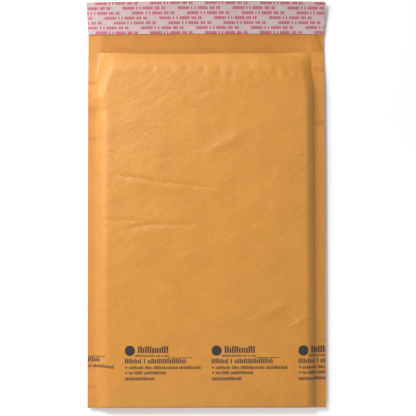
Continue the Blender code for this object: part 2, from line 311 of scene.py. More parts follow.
def smooth_front_z(x, y):
    middle = FOLD_TOP + (THICKNESS - FOLD_TOP) * rise(y - FOLD_Y, FOLD_REACH)
    reach = LIP_REACH * (1 + LIP_SLOPE * ease((x - LIP_SLOPE_START) / LIP_SLOPE_REACH))
    near_lip = np.clip((y - MOUTH_Y + reach) / reach, 0, 1) ** LIP_FULLNESS
    middle = middle - (THICKNESS - LIP_TOP) * near_lip
    left, right = pad_edges(y)
    outside = np.maximum(0, np.maximum(left - x, x - right))
    foot = FOOT * np.exp(-outside / FOOT_REACH) * rise(y - FOLD_Y, FOLD_REACH) * (1 - near_lip)
    seal_top = seal_under(y) + SEAL_THICKNESS + foot
    softer = 1 + CORNER_SOFTNESS * drawn_in(y)
    return seal_top + (middle - seal_top) * side_rise(x, y, ROLL_OFF * softer)


def back_z(x, y):
    along_flap = np.maximum(0.0, (y - MOUTH_Y) / FLAP_LENGTH)
    side = seal_under(y) * (1 - ease(along_flap))
    middle = FOLD_UNDER * (1 - rise(y - FOLD_Y, FOLD_REACH))
    wider = 1 + FLAP_SPREAD * along_flap + bump_at(y - MOUTH_Y, MOUTH_SPREAD)
    flat = side_rise(x, y, ROLL_OFF * wider)
    bow = FLAP_BOW * along_flap * (1 - (2 * x / WIDTH) ** 2)
    return side + (middle - side) * flat + FLAP_CURL * along_flap**2 + bow


def crease_at(x, y, places):
    """The distance from a crease through some places, and its strength, which fades at its ends."""
    nearest, strength = np.full_like(x, np.inf), np.zeros_like(x)
    for number, (start, end) in enumerate(zip(places, places[1:])):
        run = np.subtract(end, start)
        along = np.clip(((x - start[0]) * run[0] + (y - start[1]) * run[1]) / run.dot(run), 0, 1)
        away = np.hypot(x - start[0] - along * run[0], y - start[1] - along * run[1])
        share = (number + along) / (len(places) - 1)
        strength = np.where(away < nearest, 1 - (2 * share - 1) ** 2, strength)
        nearest = np.minimum(nearest, away)
    return nearest, strength


def wrinkle_noise(x, y, across, along):
    """Smooth noise drawn out along the slant in which the paper has wrinkled."""
    turned_x = (x * math.cos(WRINKLE_SLANT) + y * math.sin(WRINKLE_SLANT)) / across
    turned_y = (y * math.cos(WRINKLE_SLANT) - x * math.sin(WRINKLE_SLANT)) / along
    flat = zip(turned_x.ravel(), turned_y.ravel())
    seed = across * SWELL_SEED
    values = [noise.noise(Vector((float(u), float(v), seed))) for u, v in flat]
    return np.array(values).reshape(x.shape)


def relief(x, y):
    """How far swells, wrinkles, creases and puckers move the front wall."""
    lift = np.zeros_like(x)
    for height, across, along in SWELLS:
        lift += height * wrinkle_noise(x, y, across, along)
    for places, height, width, _ in VALLEYS:
        distance, strength = crease_at(x, y, places)
        away = distance / width
        shoulders = away * np.exp(1 - away)
        lift += height * strength * (shoulders - VALLEY_SHARE * np.exp(-away))
    for places, height, width, _ in RIDGES:
        distance, strength = crease_at(x, y, places)
        lift += height * strength * bump_at(distance, width)
    for middle_x, middle_y, depth in PUCKERS:
        away = np.hypot((x - middle_x) / PUCKER_ACROSS, (y - middle_y) / PUCKER_ALONG)
        lift -= depth * np.exp(-away * away)
    ends = rise(y - FOLD_Y, FOLD_REACH) * (1 - ease((y - PAD_TOP_Y) / LIP_MARGIN))
    return lift * ends * side_rise(x, y, RELIEF_REACH)


def lip_wave(x, y):
    near_lip = ease((y - PAD_TOP_Y) / LIP_MARGIN)
    wave = sum(share * np.sin(x * 2 * math.pi / length + turn) for length, turn, share in LIP_WAVES)
    return LIP_WAVE * wave * near_lip * side_rise(x, y, RELIEF_REACH)


def front_z(x, y):
    return smooth_front_z(x, y) + relief(x, y) + lip_wave(x, y)


def plain_front_z(x, y):
    return smooth_front_z(x, y) + lip_wave(x, y)


def slant(surface, x, y):
    """The upright thickness of a sheet on this surface, for a unit square to it."""
    across = (surface(x + PROBE, y) - surface(x - PROBE, y)) / (2 * PROBE)
    along = (surface(x, y + PROBE) - surface(x, y - PROBE)) / (2 * PROBE)
    return np.sqrt(1 + across**2 + along**2)


def filled(marks, step):
    """The marks, with even steps no longer than this one between them."""
    places = [marks[0]]
    for start, end in zip(marks, marks[1:]):
        count = math.ceil((end - start) / step - ROUNDING)
        places += [start + (end - start) * n / count for n in range(1, count + 1)]
    return places


def body_rows():
    shares = [(n / FOLD_ROWS) ** CROWDING for n in range(FOLD_ROWS + 1)]
    fold = [FOLD_Y + FOLD_DEPTH + FOLD_REACH * share for share in shares]
    level = filled([fold[-1], PAD_TOP_Y - TOP_LEAD * CORNER_REACH], BODY_STEP)
    top = filled([level[-1], PAD_TOP_Y, MOUTH_Y], TOP_STEP)
    return np.array(fold + level[1:] + top[1:])


def pad_columns(y):
    left, right = pad_edges(y)
    roll = [ROLL_OFF * (n / ROLL_STEPS) ** ROLL_CROWDING for n in range(ROLL_STEPS)]
    steps = round((WIDTH - LEFT_SEAL_WIDTHS[0] - RIGHT_SEAL - 2 * ROLL_OFF) / BODY_STEP)
    middle = np.linspace(left + ROLL_OFF, right - ROLL_OFF, steps + 1)
    left_roll, right_roll = [left + out for out in roll], [right - out for out in roll[::-1]]
    return np.concatenate((left_roll, middle, right_roll))


def full_columns(y):
    left, right = pad_edges(y)
    out = (np.arange(1, BAND_STEPS + 1) / BAND_STEPS) ** CROWDING
    left_band = left - out[::-1] * (left + WIDTH / 2)
    right_band = right + out * (WIDTH / 2 - right)
    return np.concatenate((left_band, pad_columns(y), right_band))


def fold_depth(x):
    height = smooth_front_z(x, FOLD_Y) - back_z(x, FOLD_Y)
    return FOLD_DEPTH * height / (FOLD_TOP - FOLD_UNDER)


def drawn_lip(x, y):
    """Moves the front wall's top rows down, so that the lip dips in its middle."""
    left, right = LIP_DIP_ENDS
    inside = ease((x - left) / LIP_DIP_FADE) * (1 - ease((x - right) / LIP_DIP_FADE))
    dip = LIP_DIP * inside * side_rise(x, y, ROLL_OFF)
    return y - dip * np.clip((y - PAD_TOP_Y) / LIP_MARGIN, 0, 1)


def grid(rows, columns):
    """The x and y of each row's columns."""
    x = np.array([columns(y) for y in rows])
    return x, np.repeat(rows[:, None], x.shape[1], axis=1)


def wall(surface, inside):
    """Points on a wall's outer face, or on its inner face, which is pinched shut at the seals."""
    x, y = grid(body_rows(), pad_columns if inside else full_columns)
    y[0] = FOLD_Y + fold_depth(x[0])
    if surface is front_z:
        y = drawn_lip(x, y)
    z = surface(x, y)
    if inside:
        smooth = plain_front_z if surface is front_z else back_z
        z = z + (-PAPER if surface is front_z else PAPER) * slant(smooth, x, y)
        z[:, 0] = z[:, -1] = seal_under(y[:, 0]) + SEAL_THICKNESS / 2
    return np.stack((x, y, z), axis=-1)


def fold_rows(top, bottom, tip_y):
    """Rows round the bottom fold, from the front wall's first row to the back wall's."""
    rows = []
    middle = (top + bottom) / 2
    out = np.where(top[:, 2] - bottom[:, 2] > WELD, np.maximum(0, middle[:, 1] - tip_y), 0)
    for step in range(1, FOLD_STEPS):
        angle = math.pi * step / FOLD_STEPS
        row = middle.copy()
        row[:, 1] -= out * math.sin(angle)
        row[:, 2] += (top[:, 2] - middle[:, 2]) * math.cos(angle)
        rows.append(row)
    return np.array(rows)


def flap_rows(start_y=MOUTH_Y, end_y=FLAP_END_Y):
    return np.array(filled([start_y, end_y], FLAP_STEP))


def flap_face(rows, lift):
    """Points at a height over the flap's underside."""
    x, y = grid(rows, full_columns)
    z = back_z(x, y)
    if lift:
        z = z + lift * slant(back_z, x, y)
    return np.stack((x, y, z), axis=-1)


def add_skin(bm, rows, slot=0):
    """Lays faces over a grid of points. Skins are welded where their points meet."""
    verts = [[bm.verts.new(point) for point in row] for row in rows]
    for low, high in zip(verts, verts[1:]):
        for corners in zip(low, low[1:], high[1:], high):
            bm.faces.new(corners).material_index = slot


def add_object(name, data):
    thing = bpy.data.objects.new(name, data)
    bpy.context.scene.collection.objects.link(thing)
    return thing


def finish_piece(bm, name, materials):
    bmesh.ops.remove_doubles(bm, verts=bm.verts, dist=WELD)
    bmesh.ops.recalc_face_normals(bm, faces=bm.faces)
    mesh = bpy.data.meshes.new(name)
    bm.to_mesh(mesh)
    bm.free()
    for material in materials:
        mesh.materials.append(material)
    mesh.shade_smooth()
    mesh.set_sharp_from_angle(angle=SMOOTH_ANGLE)
    return add_object(name, mesh)


def stands_for(piece, node):
    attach(piece, "root")
    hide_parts(node)


def make_strip(name, first, second, material):
    """Closes two grids of points of one shape into a sheet with a rim all round."""
    bm = bmesh.new()
    add_skin(bm, first)
    add_skin(bm, second)
    for end in (0, -1):
        add_skin(bm, [first[end], second[end]])
        add_skin(bm, [first[:, end], second[:, end]])
    return finish_piece(bm, name, [material])


# Node trees


class Output:
    """A node's output, on which sums and comparisons are written out as nodes of its tree."""

    def __init__(self, socket):
        self.socket = socket

    def __add__(self, other):
        return calc("ADD", self, other)

    def __sub__(self, other):
        return calc("SUBTRACT", self, other)

    def __rsub__(self, other):
        return calc("SUBTRACT", other, self)

    def __mul__(self, other):
        return calc("MULTIPLY", self, other)

    def __truediv__(self, other):
        return calc("DIVIDE", self, other)

    def __gt__(self, other):
        return calc("GREATER_THAN", self, other)

    def __lt__(self, other):
        return calc("LESS_THAN", self, other)


class Outputs:
    """A node's outputs, by name or number."""

    def __init__(self, node):
        self.sockets = node.outputs

    def __getitem__(self, key):
        return Output(self.sockets[key])


def plug_all(values, inputs):
    """Links outputs to these inputs, or sets the inputs' own values."""
    for key, value in dict(values).items():
        if isinstance(value, Output):
            inputs[key].id_data.links.new(value.socket, inputs[key])
        else:
            inputs[key].default_value = value


def add_node(tree, kind, inputs=(), **settings):
    """The outputs of a new node with these inputs, by name or number, and settings."""
    node = tree.nodes.new(kind)
    for name, value in settings.items():
        setattr(node, name, value)
    plug_all(inputs, node.inputs)
    return Outputs(node)


def tree_of(values):
    return next(value.socket.id_data for value in values if isinstance(value, Output))


def calc(operation, *values):
    return add_node(tree_of(values), "ShaderNodeMath", enumerate(values), operation=operation)[0]


def vector_calc(operation, *values):
    """The outputs of a vector calculation: a vector, or the second one, which is a number."""
    tree = tree_of(values)
    return add_node(tree, "ShaderNodeVectorMath", enumerate(values), operation=operation)


def mixed(share, first, second):
    """A colour between two others."""
    inputs = {"Factor": share, 6: first, 7: second}
    return add_node(tree_of([share]), "ShaderNodeMix", inputs, data_type="RGBA")[2]


def tinted(colour, mask, share, tint):
    """A colour with a share of a tint laid over it where the mask says."""
    return mixed(mask * share, colour, tint)


def remapped(value, from_low, from_high, to_low=0.0, to_high=1.0):
    places = (value, from_low, from_high, to_low, to_high)
    return add_node(tree_of(places), "ShaderNodeMapRange", enumerate(places))[0]


def separated(place):
    return add_node(tree_of([place]), "ShaderNodeSeparateXYZ", {0: place})


def combined(*parts):
    return add_node(tree_of(parts), "ShaderNodeCombineXYZ", enumerate(parts))[0]


def noise_at(place, scale, stretch=(1, 1, 1), detail=3.0, roughness=0.5, turn=0.0):
    tree = tree_of([place])
    stretched = add_node(
        tree, "ShaderNodeMapping", {"Vector": place, "Scale": stretch, "Rotation": (0, 0, turn)},
        vector_type="TEXTURE" if turn else "POINT",
    )[0]
    return add_node(tree, "ShaderNodeTexNoise", {
        "Vector": stretched, "Scale": scale, "Detail": detail, "Roughness": roughness,
    })[0]


def bumped(height, distance, strength=1.0, normal=None):
    inputs = {"Strength": strength, "Distance": distance, "Height": height}
    if normal is not None:
        inputs["Normal"] = normal
    return add_node(tree_of([height]), "ShaderNodeBump", inputs)[0]


def object_place(tree):
    return add_node(tree, "ShaderNodeTexCoord")["Object"]


def seen_directly(tree):
    """1 for what the camera sees, also in a gloss or through film, and 0 for what gives light."""
    rays = add_node(tree, "ShaderNodeLightPath")
    through = calc("MAXIMUM", rays["Is Glossy Ray"], rays["Is Transmission Ray"])
    return calc("MAXIMUM", rays["Is Camera Ray"], through)


def new_group(name, inputs, outputs, tree_kind="ShaderNodeTree"):
    """An empty node group and its ends. Each socket has its kind, or a number's value to start."""
    tree = bpy.data.node_groups.new(name, tree_kind)
    for in_out, sockets in (("INPUT", inputs), ("OUTPUT", outputs)):
        for label, given in sockets.items():
            kind = "NodeSocket" + (given if isinstance(given, str) else "Float")
            socket = tree.interface.new_socket(label, in_out=in_out, socket_type=kind)
            if not isinstance(given, str):
                socket.default_value = given
    start = Outputs(tree.nodes.new("NodeGroupInput"))
    return tree, start, tree.nodes.new("NodeGroupOutput").inputs


def place_group(group, **inputs):
    """A group in a material. Its inputs are given with _ for the spaces in their names."""
    named = {name.replace("_", " "): value for name, value in inputs.items()}
    node = tree_of(inputs.values()).nodes.new("ShaderNodeGroup")
    node.node_tree = group
    plug_all(named, node.inputs)
    return Outputs(node)


def paper_grain_group():
    """Clouds, fibres and specks of paper pulp, from a place in metres."""
    tree, start, end = new_group(
        "paper_grain", {"Place": "Vector", "Cloud Size": 0.02, "Fibre Length": 0.003},
        dict.fromkeys(("Clouds", "Fibres", "Specks", "Mottle", "Height"), "Float"),
    )
    place = start["Place"]
    cloud_scale = calc("DIVIDE", 1.0, start["Cloud Size"])
    fibre_scale = calc("DIVIDE", 1.0, start["Fibre Length"])
    clouds = noise_at(place, cloud_scale, (1, 0.7, 1), detail=4, roughness=0.6)
    across = noise_at(place, fibre_scale, (4.0, 1.0, 1.0), detail=3, roughness=0.65)
    along = noise_at(place, fibre_scale, (1.2, 5.0, 1.0), detail=3, roughness=0.65)
    fibres = (across + along) * 0.5
    dots = add_node(tree, "ShaderNodeTexVoronoi", {"Vector": place, "Scale": 420.0}, feature="F1")
    speck = remapped(dots["Distance"], 0.05, 0.16, 1.0, 0.0)
    mottle = noise_at(place, 480.0, detail=2)
    plug_all({
        "Clouds": remapped(clouds, 0.3, 0.7),
        "Fibres": remapped(fibres, 0.35, 0.65),
        "Specks": speck * (dots["Color"] > 0.72),
        "Mottle": remapped(mottle, 0.35, 0.68),
        "Height": fibres,
    }, end)
    return tree


def paper_fold_group():
    """The height of a crease along a line, which fades out round its ends and beside it."""
    tree, start, end = new_group(
        "paper_fold",
        {
            "Place": "Vector", "Direction": "Vector", "Across": "Vector", "Middle Along": 0.0,
            "Middle Across": 0.0, "Half Length": 0.01, "Width": 0.001, "Height": 0.0001,
        },
        {"Height": "Float"},
    )

    def measured(direction, middle):
        place = vector_calc("DOT_PRODUCT", start["Place"], start[direction])[1]
        return calc("ABSOLUTE", place - start[middle])

    beyond = calc("MAXIMUM", measured("Direction", "Middle Along") - start["Half Length"], 0.0)
    across = measured("Across", "Middle Across")
    squared = calc("MULTIPLY_ADD", across, across, beyond * beyond)
    widths = squared / (start["Width"] * start["Width"])
    plug_all({"Height": start["Height"] * calc("EXPONENT", widths * -1.0)}, end)
    return tree


def crimped_seals_group():
    """Ribs pressed across the side seals in groups, streaks down them and the paper's rim."""
    tree, start, end = new_group(
        "crimped_seals",
        {"Place": "Vector", "Left Edge": -0.1, "Right Edge": 0.1, "Rib Pitch": 0.0014},
        dict.fromkeys(("Seal", "Ribs", "Streaks", "Rim"), "Float"),
    )
    place = separated(start["Place"])
    x, y = place["X"], place["Y"]
    past_edge = calc("MAXIMUM", start["Left Edge"] - x, x - start["Right Edge"])
    seal = remapped(past_edge, 0.0, SEAL_FADE)
    ribs = remapped(calc("SINE", y / start["Rib Pitch"] * (2 * math.pi)), -1.0, 1.0)
    strength = FAINT_CRIMPS
    for side, low, high, pressed in CRIMPS:
        over_low = remapped(y, low - CRIMP_FADE, low + CRIMP_FADE)
        under_high = remapped(y, high - CRIMP_FADE, high + CRIMP_FADE, 1.0, 0.0)
        in_group = over_low * under_high * (x * side > 0.0) * pressed
        strength = calc("MAXIMUM", in_group, strength)
    streaks = noise_at(start["Place"], 1.0, (900, 22, 1), detail=2)
    plug_all({
        "Seal": seal,
        "Ribs": ribs * strength * seal,
        "Streaks": remapped(streaks, 0.35, 0.65) * seal,
        "Rim": remapped(WIDTH / 2 - calc("ABSOLUTE", x), RIM_FROM, RIM_TO, 1.0, 0.0),
    }, end)
    return tree


def greeked_line_group():
    """A mask of upright ticks in word-like groups, which only stands for a line of text."""
    tree, start, end = new_group(
        "greeked_line",
        {
            "Place": "Vector", "Left": 0.0, "Middle": 0.0, "Length": 0.05, "Height": 0.003,
            "Tick Pitch": 0.0012, "Tick Share": 0.6, "Word Gaps": 0.1, "Low Ticks": 0.5,
            "Seed": 0.0,
        },
        {"Mask": "Float"},
    )
    place = separated(start["Place"])
    across = place["X"] - start["Left"]
    up = place["Y"] - start["Middle"]
    half_height = start["Height"] * 0.5
    ticks = across / start["Tick Pitch"]
    chosen_by = combined(calc("FLOOR", ticks), start["Seed"])
    chance = add_node(
        tree, "ShaderNodeTexWhiteNoise", {"Vector": chosen_by}, noise_dimensions="2D"
    )["Value"]
    top = half_height * remapped(chance > start["Low Ticks"], 0.0, 1.0, LOW_TICK, 1.0)
    in_line = (across > 0.0) * (across < start["Length"]) * (up > half_height * -1.0) * (up < top)
    inked = calc("FRACT", ticks) < start["Tick Share"]
    plug_all({"Mask": in_line * (chance > start["Word Gaps"]) * inked}, end)
    return tree


def new_material(name):
    """A material, its node tree and its Principled shader's inputs."""
    material = bpy.data.materials.new(name)
    material.use_nodes = True
    tree = material.node_tree
    return material, tree, tree.nodes["Principled BSDF"].inputs


# The printed block's lines: left, middle, length, height, tick pitch, tick share and word gaps,
# in millimetres from the block's left edge and from the envelope's middle
PRINT_PITCH = 0.0874
PRINT_START = -0.0823
PRINT_LINES = (
    (13.1, -147.2, 31.0, 6.9, 2.4, 0.68, 0.0),
    (10.4, -153.4, 33.8, 2.4, 1.10, 0.60, 0.10),
    (0.0, -158.7, 61.5, 4.8, 1.9, 0.62, 0.09),
    (3.9, -165.2, 72.6, 3.2, 1.15, 0.66, 0.09),
    (3.9, -170.5, 38.0, 3.2, 1.15, 0.66, 0.09),
    (0.0, -176.4, 29.9, 3.5, 1.20, 0.68, 0.0),
)
PRINT_DOTS = ((5.0, -148.3, 5.2), (1.3, -165.2, 1.0), (1.3, -170.5, 1.0))  # centre and radius
PRINT_RULE = (43.2, -155.5, 24.5, 0.65)  # left, middle, length and height
PRINT_RISE = 0.0015  # the print stands this much higher past the pad's left side
PRINT_RISE_FROM, PRINT_RISE_TO = -0.104, -0.088
LOW_TICK = 0.55  # the top of a low tick, as a share of a tall one's

# The liner's rows of marks: each row starts a sixth of a phrase before the last one, and every
# second row two thirds after that
ROW_PITCH = 0.00487
ROW_START = 0.0015  # past the liner's upper edge
PHRASE_PITCH = 0.0561
PHRASE_LENGTH = 0.0452
PHRASE_START = -0.1146


def printed_block(place, greeked_line):
    """The mask of the ink that repeats across the bottom of the front wall."""
    parts = separated(place)
    across = calc("FLOORED_MODULO", parts["X"] - PRINT_START, PRINT_PITCH)
    up = parts["Y"] - remapped(parts["X"], PRINT_RISE_FROM, PRINT_RISE_TO, PRINT_RISE, 0.0)
    in_block = combined(across, up)
    ink = 0.0
    for number, (left, middle, length, height, pitch, share, gaps) in enumerate(PRINT_LINES):
        line = place_group(
            greeked_line, Place=in_block, Left=left / 1000, Middle=middle / 1000,
            Length=length / 1000, Height=height / 1000, Tick_Pitch=pitch / 1000,
            Tick_Share=share, Word_Gaps=gaps, Seed=float(number),
        )[0]
        ink = calc("MAXIMUM", line, ink)
    for middle_x, middle_y, radius in PRINT_DOTS:
        away = vector_calc("DISTANCE", in_block, (middle_x / 1000, middle_y / 1000, 0.0))[1]
        ink = calc("MAXIMUM", away < radius / 1000, ink)
    left, middle, length, height = (value / 1000 for value in PRINT_RULE)
    in_rule = calc("ABSOLUTE", up - middle) < height / 2
    return calc("MAXIMUM", (across > left) * (across < left + length) * in_rule, ink)


def fold_height(place, group, folds, height_share=1.0, width_share=1.0):
    """The height of the highest fold here. Each has its places, height, width and crispness."""
    highest = 0.0
    for places, height, width, crispness in folds:
        height *= crispness
        if not height:
            continue
        for start, end in zip(places, places[1:]):
            run = Vector((*end, 0.0)) - Vector((*start, 0.0))
            middle = Vector((*start, 0.0)) + run / 2
            direction = run.normalized()
            across = Vector((-direction.y, direction.x, 0.0))
            fold = place_group(
                group, Place=place, Direction=direction, Across=across,
                Middle_Along=middle.dot(direction), Middle_Across=middle.dot(across),
                Half_Length=run.length / 2, Width=width * width_share, Height=height * height_share,
            )[0]
            highest = calc("MAXIMUM", fold, highest)
    return highest


def shaken_place(place):
    """The place moved a little by noise, so that straight creases come out broken."""
    inputs = {"Vector": place, "Scale": CORE_SHAKE_SCALE}
    shake = add_node(tree_of([place]), "ShaderNodeTexNoise", inputs)["Color"]
    reach = Vector((CORE_SHAKE, CORE_SHAKE, 0.0))
    scaled = vector_calc("MULTIPLY_ADD", shake, reach, place)[0]
    return vector_calc("SUBTRACT", scaled, reach / 2)[0]


def add_creases(place, groups, normal):
    """A normal with the crisp cores of the front wall's creases, and its crinkles."""
    shaken = shaken_place(place)
    valleys = fold_height(shaken, groups["fold"], VALLEYS, CORE_HEIGHT, CORE_WIDTH)
    ridges = fold_height(shaken, groups["fold"], RIDGES, CORE_HEIGHT, CORE_WIDTH)
    crinkle = noise_at(
        place, CRINKLE_SCALE, (1.0, 0.55, 1.0), detail=4, roughness=0.62, turn=WRINKLE_SLANT
    )
    broken = remapped(noise_at(place, 85.0, detail=1), 0.38, 0.58, 0.1, 1.1)
    height = calc("MULTIPLY_ADD", crinkle, CRINKLE, (ridges - valleys) * broken)
    return bumped(height, 1.0, 1.0, normal)


def kraft_material(name, groups, tones, printed=False, crimped=False):
    """Glazed kraft: the outer face is crimped at the seals, its front is creased and printed."""
    material, tree, shader = new_material(name)
    place = object_place(tree)
    grain = place_group(groups["grain"], Place=place, Cloud_Size=0.02, Fibre_Length=0.0028)
    colour = mixed(grain["Clouds"], *tones)
    colour = tinted(colour, grain["Mottle"], 0.14 if crimped else 0.22, MOTTLE_TINT)
    colour = tinted(colour, grain["Fibres"], 0.08, FIBRE_TINT)
    colour = tinted(colour, grain["Specks"], 0.30, SPECK_TINT)
    smoothest, roughest = (0.40, 0.50) if crimped else (0.42, 0.52)
    roughness = remapped(grain["Fibres"], 0.0, 1.0, smoothest, roughest)
    normal = bumped(grain["Height"], 0.00012, 0.6)
    if crimped:
        seals = place_group(
            groups["seals"], Place=place, Left_Edge=-WIDTH / 2 + LEFT_SEAL_WIDTHS[0],
            Right_Edge=WIDTH / 2 - RIGHT_SEAL, Rib_Pitch=CRIMP_PITCH,
        )
        colour = tinted(colour, seals["Streaks"], 0.16, STREAK_TINT)
        # painted shade along the ribs' grooves; their relief comes from the bump below
        colour = tinted(colour, seals["Ribs"], 0.80, RIB_GROOVE_SHADE)
        # painted shade along the paper's cut side edges
        colour = tinted(colour, seals["Rim"], 0.35, EDGE_SHADE_TINT)
        roughness = calc("MULTIPLY_ADD", seals["Seal"], 0.15, roughness)
        normal = bumped(1.0 - seals["Ribs"], 0.00012, 0.8, normal)
    else:
        from_left = separated(place)["X"] + WIDTH / 2
        pale_end = SEALED_PALE + SEALED_FADE
        sealed = remapped(from_left, SEALED_PALE, pale_end, SEALED_SHARE, 0.0)
        colour = mixed(sealed, colour, SEALED_TINT)
        dents = fold_height(place, groups["fold"], FLAP_FOLDS) * -1.0
        normal = bumped(dents, 1.0, 1.0, normal)
    if printed:
        normal = add_creases(place, groups, normal)
        ink = printed_block(place, groups["line"])
        worn = remapped(grain["Fibres"], 0.0, 0.25, 0.95, 0.995)
        colour = tinted(colour, ink, worn, BLACK_INK)
        roughness = remapped(ink, 0.0, 1.0, roughness, 0.85)
    plug_all({
        "Base Color": colour, "Roughness": roughness, "Normal": normal,
        "Specular IOR Level": 0.65 if crimped else 0.50,
    }, shader)
    return material


def liner_material(groups):
    """Pale release paper with rows of small red marks."""
    material, tree, shader = new_material("release_paper")
    place = object_place(tree)
    parts = separated(place)
    grain = place_group(groups["grain"], Place=place, Cloud_Size=0.012, Fibre_Length=0.002)
    rows = (LINER_END_Y + ROW_START - parts["Y"]) / ROW_PITCH
    row = calc("FLOOR", rows)
    odd = calc("FLOORED_MODULO", row, 2.0)
    shift = row * (PHRASE_PITCH / 6) - odd * (PHRASE_PITCH * 2 / 3)
    from_start = parts["X"] + (10 * PHRASE_PITCH - PHRASE_START) + shift
    across = calc("FLOORED_MODULO", from_start, PHRASE_PITCH)
    in_row = combined(across, (0.5 - calc("FRACT", rows)) * ROW_PITCH)
    marks = place_group(
        groups["line"], Place=in_row, Left=0.0, Middle=0.0, Length=PHRASE_LENGTH, Height=0.0028,
        Tick_Pitch=0.00172, Tick_Share=0.72, Word_Gaps=0.14, Low_Ticks=0.0, Seed=6.0,
    )[0]
    plug_all({
        "Base Color": tinted(mixed(grain["Clouds"], *LINER_TONES), marks, 0.95, RED_INK),
        "Roughness": 0.34,
        "Normal": bumped(grain["Height"], 0.00005, 0.4),
    }, shader)
    return material


def film_material(groups):
    """Thin clear film: mostly see-through, milky where it is seen edge on."""
    material, tree, shader = new_material("bubble_film")
    place = object_place(tree)
    grain = place_group(groups["grain"], Place=place, Cloud_Size=0.009, Fibre_Length=0.0015)
    edge_on = add_node(tree, "ShaderNodeLayerWeight", {"Blend": 0.35})["Facing"]
    plug_all({
        "Base Color": mixed(grain["Clouds"], *FILM_TONES),
        "Alpha": calc("MULTIPLY_ADD", edge_on, 0.45, 0.30),
        "Roughness": 0.22,
        "Normal": bumped(grain["Height"], 0.00008, 0.5),
    }, shader)
    return material


def adhesive_material(groups):
    material, tree, shader = new_material("adhesive")
    place = object_place(tree)
    grain = place_group(groups["grain"], Place=place, Cloud_Size=0.006, Fibre_Length=0.004)
    plug_all({
        "Base Color": mixed(grain["Clouds"], *ADHESIVE_TONES),
        "Roughness": remapped(grain["Fibres"], 0.0, 1.0, 0.12, 0.30),
        "Normal": bumped(grain["Height"], 0.0003, 0.7),
    }, shader)
    return material


# The pieces


def make_envelope(materials):
    """The folded and sealed paper web with its flap. Slots: printed front, plain back, inside."""
    front, back = wall(front_z, False), wall(back_z, False)
    inner_front, inner_back = wall(front_z, True), wall(back_z, True)
    flap_under, flap_top = flap_face(flap_rows(), 0), flap_face(flap_rows(), PAPER)
    band = (front.shape[1] - inner_front.shape[1]) // 2
    flap_top[0][band:-band] = inner_back[-1]
    outer_fold = fold_rows(front[0], back[0], FOLD_Y)

    bm = bmesh.new()
    add_skin(bm, front, 0)
    add_skin(bm, [front[0], *outer_fold, back[0]], 1)
    add_skin(bm, back, 1)
    inner_fold = fold_rows(inner_front[0], inner_back[0], FOLD_Y + PAPER)
    add_skin(bm, [*inner_front[::-1], *inner_fold, *inner_back], 2)
    add_skin(bm, flap_under, 1)
    add_skin(bm, flap_top, 2)
    add_skin(bm, [flap_under[-1], flap_top[-1]], 1)
    add_skin(bm, [front[-1][band:-band], inner_front[-1]], 0)
    lift = np.array((0, 0, PAPER))
    for edge, seal in ((0, slice(0, band + 1)), (-1, slice(-band - 1, None))):
        add_skin(bm, [front[:, edge], back[:, edge] + lift, back[:, edge]], 1)
        add_skin(bm, [flap_top[:, edge], flap_under[:, edge]], 1)
        add_skin(bm, [front[-1][seal], flap_top[0][seal]], 0)
        fold_end = [front[0][edge], *outer_fold[:, edge], back[0][edge], back[0][edge] + lift]
        bm.faces.new([bm.verts.new(point) for point in fold_end]).material_index = 1
    stands_for(finish_piece(bm, "kraft_paper", materials), "kraft_envelope")


def make_adhesive(material):
    """The band of hot melt under the liner."""
    rows = flap_rows(ADHESIVE_START_Y, ADHESIVE_START_Y + ADHESIVE_LENGTH)
    reach = WIDTH / 2 - ADHESIVE_MARGIN
    faces = []
    for lift in (PAPER + ADHESIVE_SEAT, PAPER + CONTACT_GAP + ADHESIVE):
        face = flap_face(rows, lift)
        face[..., 0] = np.clip(face[..., 0], -reach, reach)
        faces.append(face)
    stands_for(make_strip("adhesive_band", *faces, material), "adhesive_strip")


def make_liner(material):
    """The release liner, a little wavy, with one loose corner."""
    rows = flap_rows(LINER_START_Y, LINER_END_Y)
    low = PAPER + 2 * CONTACT_GAP + ADHESIVE
    faces = []
    for lift in (low, low + LINER):
        face = flap_face(rows, lift)
        x, y = face[..., 0], face[..., 1]
        along = (y - LINER_START_Y) / LINER_LENGTH
        face[:, 0, 0] -= LINER_FLARE * along[:, 0]
        face[:, -1, 0] += LINER_FLARE * along[:, -1]
        face[..., 1] += LINER_ARCH * (1 - (2 * x / WIDTH) ** 2) * (1 - along)
        loose = 1 - np.sqrt(np.clip(along, 0, 1))
        for length, drift, share in LINER_WAVES:
            wave = 1 + np.sin(x * 2 * math.pi / length + drift * along)
            face[..., 2] += LINER_WAVE * share * wave * loose
        from_side = np.clip(1 - (x + WIDTH / 2) / LINER_LIFT_REACH, 0, 1)
        from_edge = np.clip(1 - along / LINER_LIFT_SHARE, 0, 1)
        face[..., 2] += LINER_LIFT * (from_side * from_edge) ** LINER_LIFT_CURVE
        faces.append(face)
    piece = make_strip("release_paper_strip", *faces, material)
    stands_for(piece, "release_liner")


